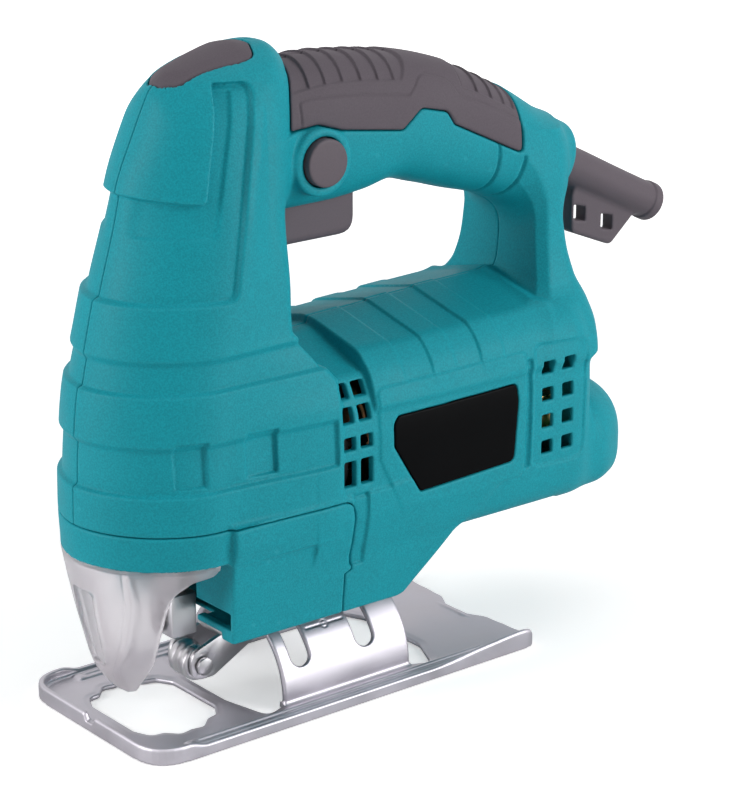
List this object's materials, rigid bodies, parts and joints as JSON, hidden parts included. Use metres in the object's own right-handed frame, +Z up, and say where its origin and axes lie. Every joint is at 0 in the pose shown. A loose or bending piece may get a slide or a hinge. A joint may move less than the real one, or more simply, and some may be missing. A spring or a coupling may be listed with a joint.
{
  "type": "jigsaw",
  "caption": "Electric jigsaw with a D handle, trigger, clear blade guard, guide roller and a tilting sheet shoe over a geared motor.",
  "frame": {"origin": "centre of the bounding box's underside, on the plane that the shoe stands on", "axes": "+X from the blade towards the cord, +Y to the tool's right-hand side, +Z up"},
  "size_m": [0.2286, 0.07, 0.1984],
  "materials": {
    "teal_plastic": "fine moulded texture",
    "grip_rubber": "matt",
    "black_panel": "semi-gloss",
    "clear_plastic": "clear",
    "zinc_sheet": "zinc plated, bright",
    "steel": "turned",
    "alloy": "die cast",
    "copper": "enamelled wire",
    "brass": "bright",
    "bronze": "sintered",
    "carbon": "matt",
    "black_moulding": "matt"
  },
  "bodies": {
    "tool_body": {"left_housing": "teal_plastic", "right_housing": "teal_plastic", "gearbox_cover": "teal_plastic", "grip_left": "grip_rubber", "grip_right": "grip_rubber", "top_cap": "grip_rubber", "label_panel": "black_panel", "housing_screw_1": "steel", "housing_screw_2": "steel", "housing_screw_3": "steel", "housing_screw_4": "steel", "housing_screw_5": "steel", "housing_screw_6": "steel", "shoe_clamp": "steel", "shoe_screw_1": "steel", "shoe_screw_2": "steel", "roller_bracket": "steel", "roller_pin": "steel", "lower_bush": "bronze", "upper_bush": "bronze", "gear_spindle": "steel", "gearbox_frame": "alloy", "front_bearing": "steel", "rear_bearing": "steel", "field_core": "steel", "field_coil_front": "copper", "field_coil_rear": "copper", "carbon_brush_left": "carbon", "carbon_brush_right": "carbon", "brush_holder_left": "brass", "brush_holder_right": "brass", "trigger_pin": "steel", "switch_body": "black_moulding", "cord_sleeve": "grip_rubber"},
    "shoe": {"shoe_plate": "zinc_sheet"},
    "armature": {"armature_shaft": "steel", "fan": "black_moulding", "armature_core": "steel", "winding_front": "copper", "winding_rear": "copper", "commutator": "copper"},
    "gear": {"drive_gear": "steel", "crank_pin": "steel"},
    "plunger_assembly": {"plunger": "steel", "blade_clamp": "alloy", "blade_clamp_screw_1": "steel", "blade_clamp_screw_2": "steel"},
    "roller": {"guide_roller": "steel"},
    "blade_guard": {"guard": "clear_plastic"},
    "switch_trigger": {"trigger": "grip_rubber"},
    "lock_on_button": {"lock_button": "grip_rubber"}
  },
  "joints": [
    {"name": "shoe_tilt", "type": "hinge", "parent": "tool_body", "child": "shoe", "pos_m": [-0.03453, 0, 0.003], "axis": [1, 0, 0], "range_deg": [-45, 45]},
    {"name": "armature_spin", "type": "hinge", "parent": "tool_body", "child": "armature", "pos_m": [0.00347, 0, 0.075], "axis": [1, 0, 0], "continuous": true},
    {"name": "gear_spin", "type": "hinge", "parent": "tool_body", "child": "gear", "pos_m": [-0.06153, 0, 0.1], "axis": [1, 0, 0], "continuous": true},
    {"name": "plunger_stroke", "type": "slide", "parent": "tool_body", "child": "plunger_assembly", "axis": [0, 0, 1], "range_m": [0, 0.018]},
    {"name": "roller_spin", "type": "hinge", "parent": "tool_body", "child": "roller", "pos_m": [-0.07473, 0, 0.013], "axis": [0, 1, 0], "continuous": true},
    {"name": "guard_pull_off", "type": "slide", "parent": "tool_body", "child": "blade_guard", "axis": [-1, 0, 0], "range_m": [0, 0.035]},
    {"name": "trigger_pull", "type": "hinge", "parent": "tool_body", "child": "switch_trigger", "pos_m": [-0.04503, 0, 0.155], "axis": [0, -1, 0], "range_deg": [0, 8.5], "stiffness_Nm_per_rad": 0.6, "springref_deg": -2.86},
    {"name": "lock_button_press", "type": "slide", "parent": "tool_body", "child": "lock_on_button", "axis": [0, 1, 0], "range_m": [0, 0.0025], "stiffness_N_per_m": 400, "springref_m": -0.001}
  ],
  "couplings": [
    {"joint": "gear_spin", "follows": "armature_spin", "ratio": -0.25}
  ]
}
